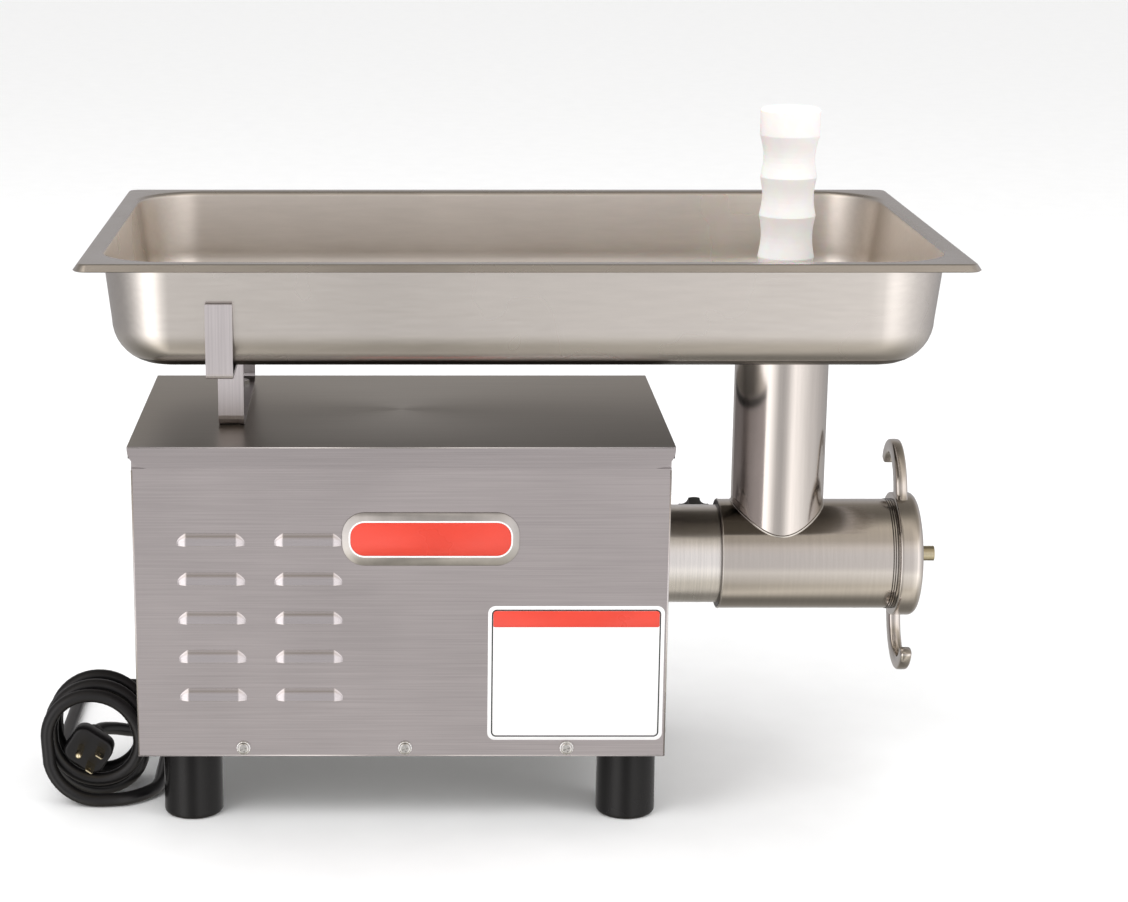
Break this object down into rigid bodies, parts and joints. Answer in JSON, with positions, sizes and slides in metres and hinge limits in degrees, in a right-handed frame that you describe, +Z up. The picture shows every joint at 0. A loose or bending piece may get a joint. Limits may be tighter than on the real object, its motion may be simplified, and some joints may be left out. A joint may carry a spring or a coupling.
{
  "type": "electric meat grinder",
  "caption": "Countertop electric meat grinder: sheet-steel motor housing on tall feet, side grinding head with ring nut, lift-off feed tray and pusher.",
  "frame": {"origin": "middle of the footprint on the bench, under the middle of the object without its cord", "axes": "+X points out of the grinding head, +Y to the rear of the housing, +Z up"},
  "size_m": [0.6202, 0.3504, 0.468],
  "materials": {
    "stainless_brushed": "horizontal brushed grain",
    "stainless_cover": "fine brushed, darker where it reflects the tray",
    "stainless_polished": "turned and polished",
    "stainless_satin": "satin, pressed sheet",
    "galvanised": "galvanised",
    "black_rubber": "matt",
    "zinc_screw": "bright zinc",
    "badge": "gloss enamel field in a satin metal plate",
    "label": "plain printed film",
    "foot_plastic": "moulded, semi-gloss",
    "pusher_plastic": "milky, slightly translucent",
    "knob_plastic": "moulded",
    "rocker_plastic": "moulded",
    "cord_rubber": "soft semi-matt jacket",
    "tool_steel": "ground",
    "stud_brass": "machined",
    "fibre": "pressed fibre",
    "cast_aluminium": "as cast",
    "motor_paint": "semi-gloss enamel",
    "core_steel": "laminated",
    "copper": "varnished winding"
  },
  "bodies": {
    "root": {"base_pan": "galvanised", "front_panel": "stainless_brushed", "back_panel": "stainless_brushed", "left_panel": "stainless_brushed", "right_panel": "stainless_brushed", "top_cover": "stainless_cover", "cover_seals": "black_rubber", "housing_screws": "zinc_screw", "badge_plate": "badge", "caution_plate": "label", "foot_front_left": "foot_plastic", "foot_front_right": "foot_plastic", "foot_rear_left": "foot_plastic", "foot_rear_right": "foot_plastic", "foot_bolts": "zinc_screw", "tray_bracket": "stainless_brushed", "bracket_bolts": "zinc_screw", "drive_neck": "stainless_polished", "neck_bolts": "zinc_screw", "grinding_head": "stainless_polished", "thrust_washer": "fibre", "hole_plate": "tool_steel", "plate_key": "tool_steel", "gearbox_case": "cast_aluminium", "gearbox_cover": "cast_aluminium", "gearbox_bolts": "zinc_screw", "output_bearings": "tool_steel", "shaft_seal": "black_rubber", "lay_bearings": "tool_steel", "motor_shell": "motor_paint", "motor_front_bell": "cast_aluminium", "motor_rear_bell": "cast_aluminium", "motor_bolts": "zinc_screw", "motor_cradle": "galvanised", "stator_core": "core_steel", "stator_windings": "copper", "motor_bearings": "tool_steel", "run_capacitor": "cast_aluminium", "switch_body": "knob_plastic", "cord_gland": "cord_rubber", "cord_run": "cord_rubber", "cord_hank": "cord_rubber", "cord_plug": "cord_rubber"},
    "motor_rotor": {"motor_shaft": "tool_steel", "rotor_core": "core_steel", "cooling_fan": "knob_plastic"},
    "layshaft": {"layshaft": "tool_steel", "lay_gear": "tool_steel"},
    "auger_drive": {"output_shaft": "tool_steel", "output_gear": "tool_steel", "auger": "tool_steel", "auger_shank": "tool_steel", "auger_stud": "stud_brass", "knife": "tool_steel"},
    "ring_nut": {"ring_nut": "stainless_polished"},
    "lock_knob": {"lock_knob": "knob_plastic", "lock_stud": "zinc_screw"},
    "tray": {"tray": "stainless_satin"},
    "pusher": {"pusher": "pusher_plastic"},
    "switch_rocker": {"switch_rocker": "rocker_plastic"}
  },
  "joints": [
    {"name": "motor_spin", "type": "hinge", "parent": "root", "child": "motor_rotor", "pos_m": [0, 0, 0.1585], "axis": [1, 0, 0], "continuous": true},
    {"name": "layshaft_spin", "type": "hinge", "parent": "root", "child": "layshaft", "pos_m": [0.05, 0, 0.109], "axis": [1, 0, 0], "continuous": true},
    {"name": "auger_spin", "type": "hinge", "parent": "root", "child": "auger_drive", "pos_m": [0.1, 0, 0.1585], "axis": [1, 0, 0], "continuous": true},
    {"name": "ring_nut_unscrew", "type": "hinge", "parent": "root", "child": "ring_nut", "pos_m": [0.26, 0, 0.1585], "axis": [1, 0, 0], "range_deg": [0, 720]},
    {"name": "lock_knob_unscrew", "type": "hinge", "parent": "root", "child": "lock_knob", "pos_m": [0.125, 0.04385, 0.16862], "axis": [0, 0.9744, 0.225], "range_deg": [0, 720]},
    {"name": "tray_lift", "type": "slide", "parent": "root", "child": "tray", "axis": [0, 0, 1], "range_m": [0, 0.03]},
    {"name": "pusher_lift", "type": "slide", "parent": "root", "child": "pusher", "axis": [0, 0, 1], "range_m": [0, 0.125]},
    {"name": "switch_rock", "type": "hinge", "parent": "root", "child": "switch_rocker", "pos_m": [-0.258, 0.02, 0.212], "axis": [0, 1, 0], "range_deg": [0, 20]}
  ],
  "couplings": [
    {"joint": "layshaft_spin", "follows": "motor_spin", "ratio": -0.32},
    {"joint": "auger_spin", "follows": "motor_spin", "ratio": 0.1024}
  ]
}
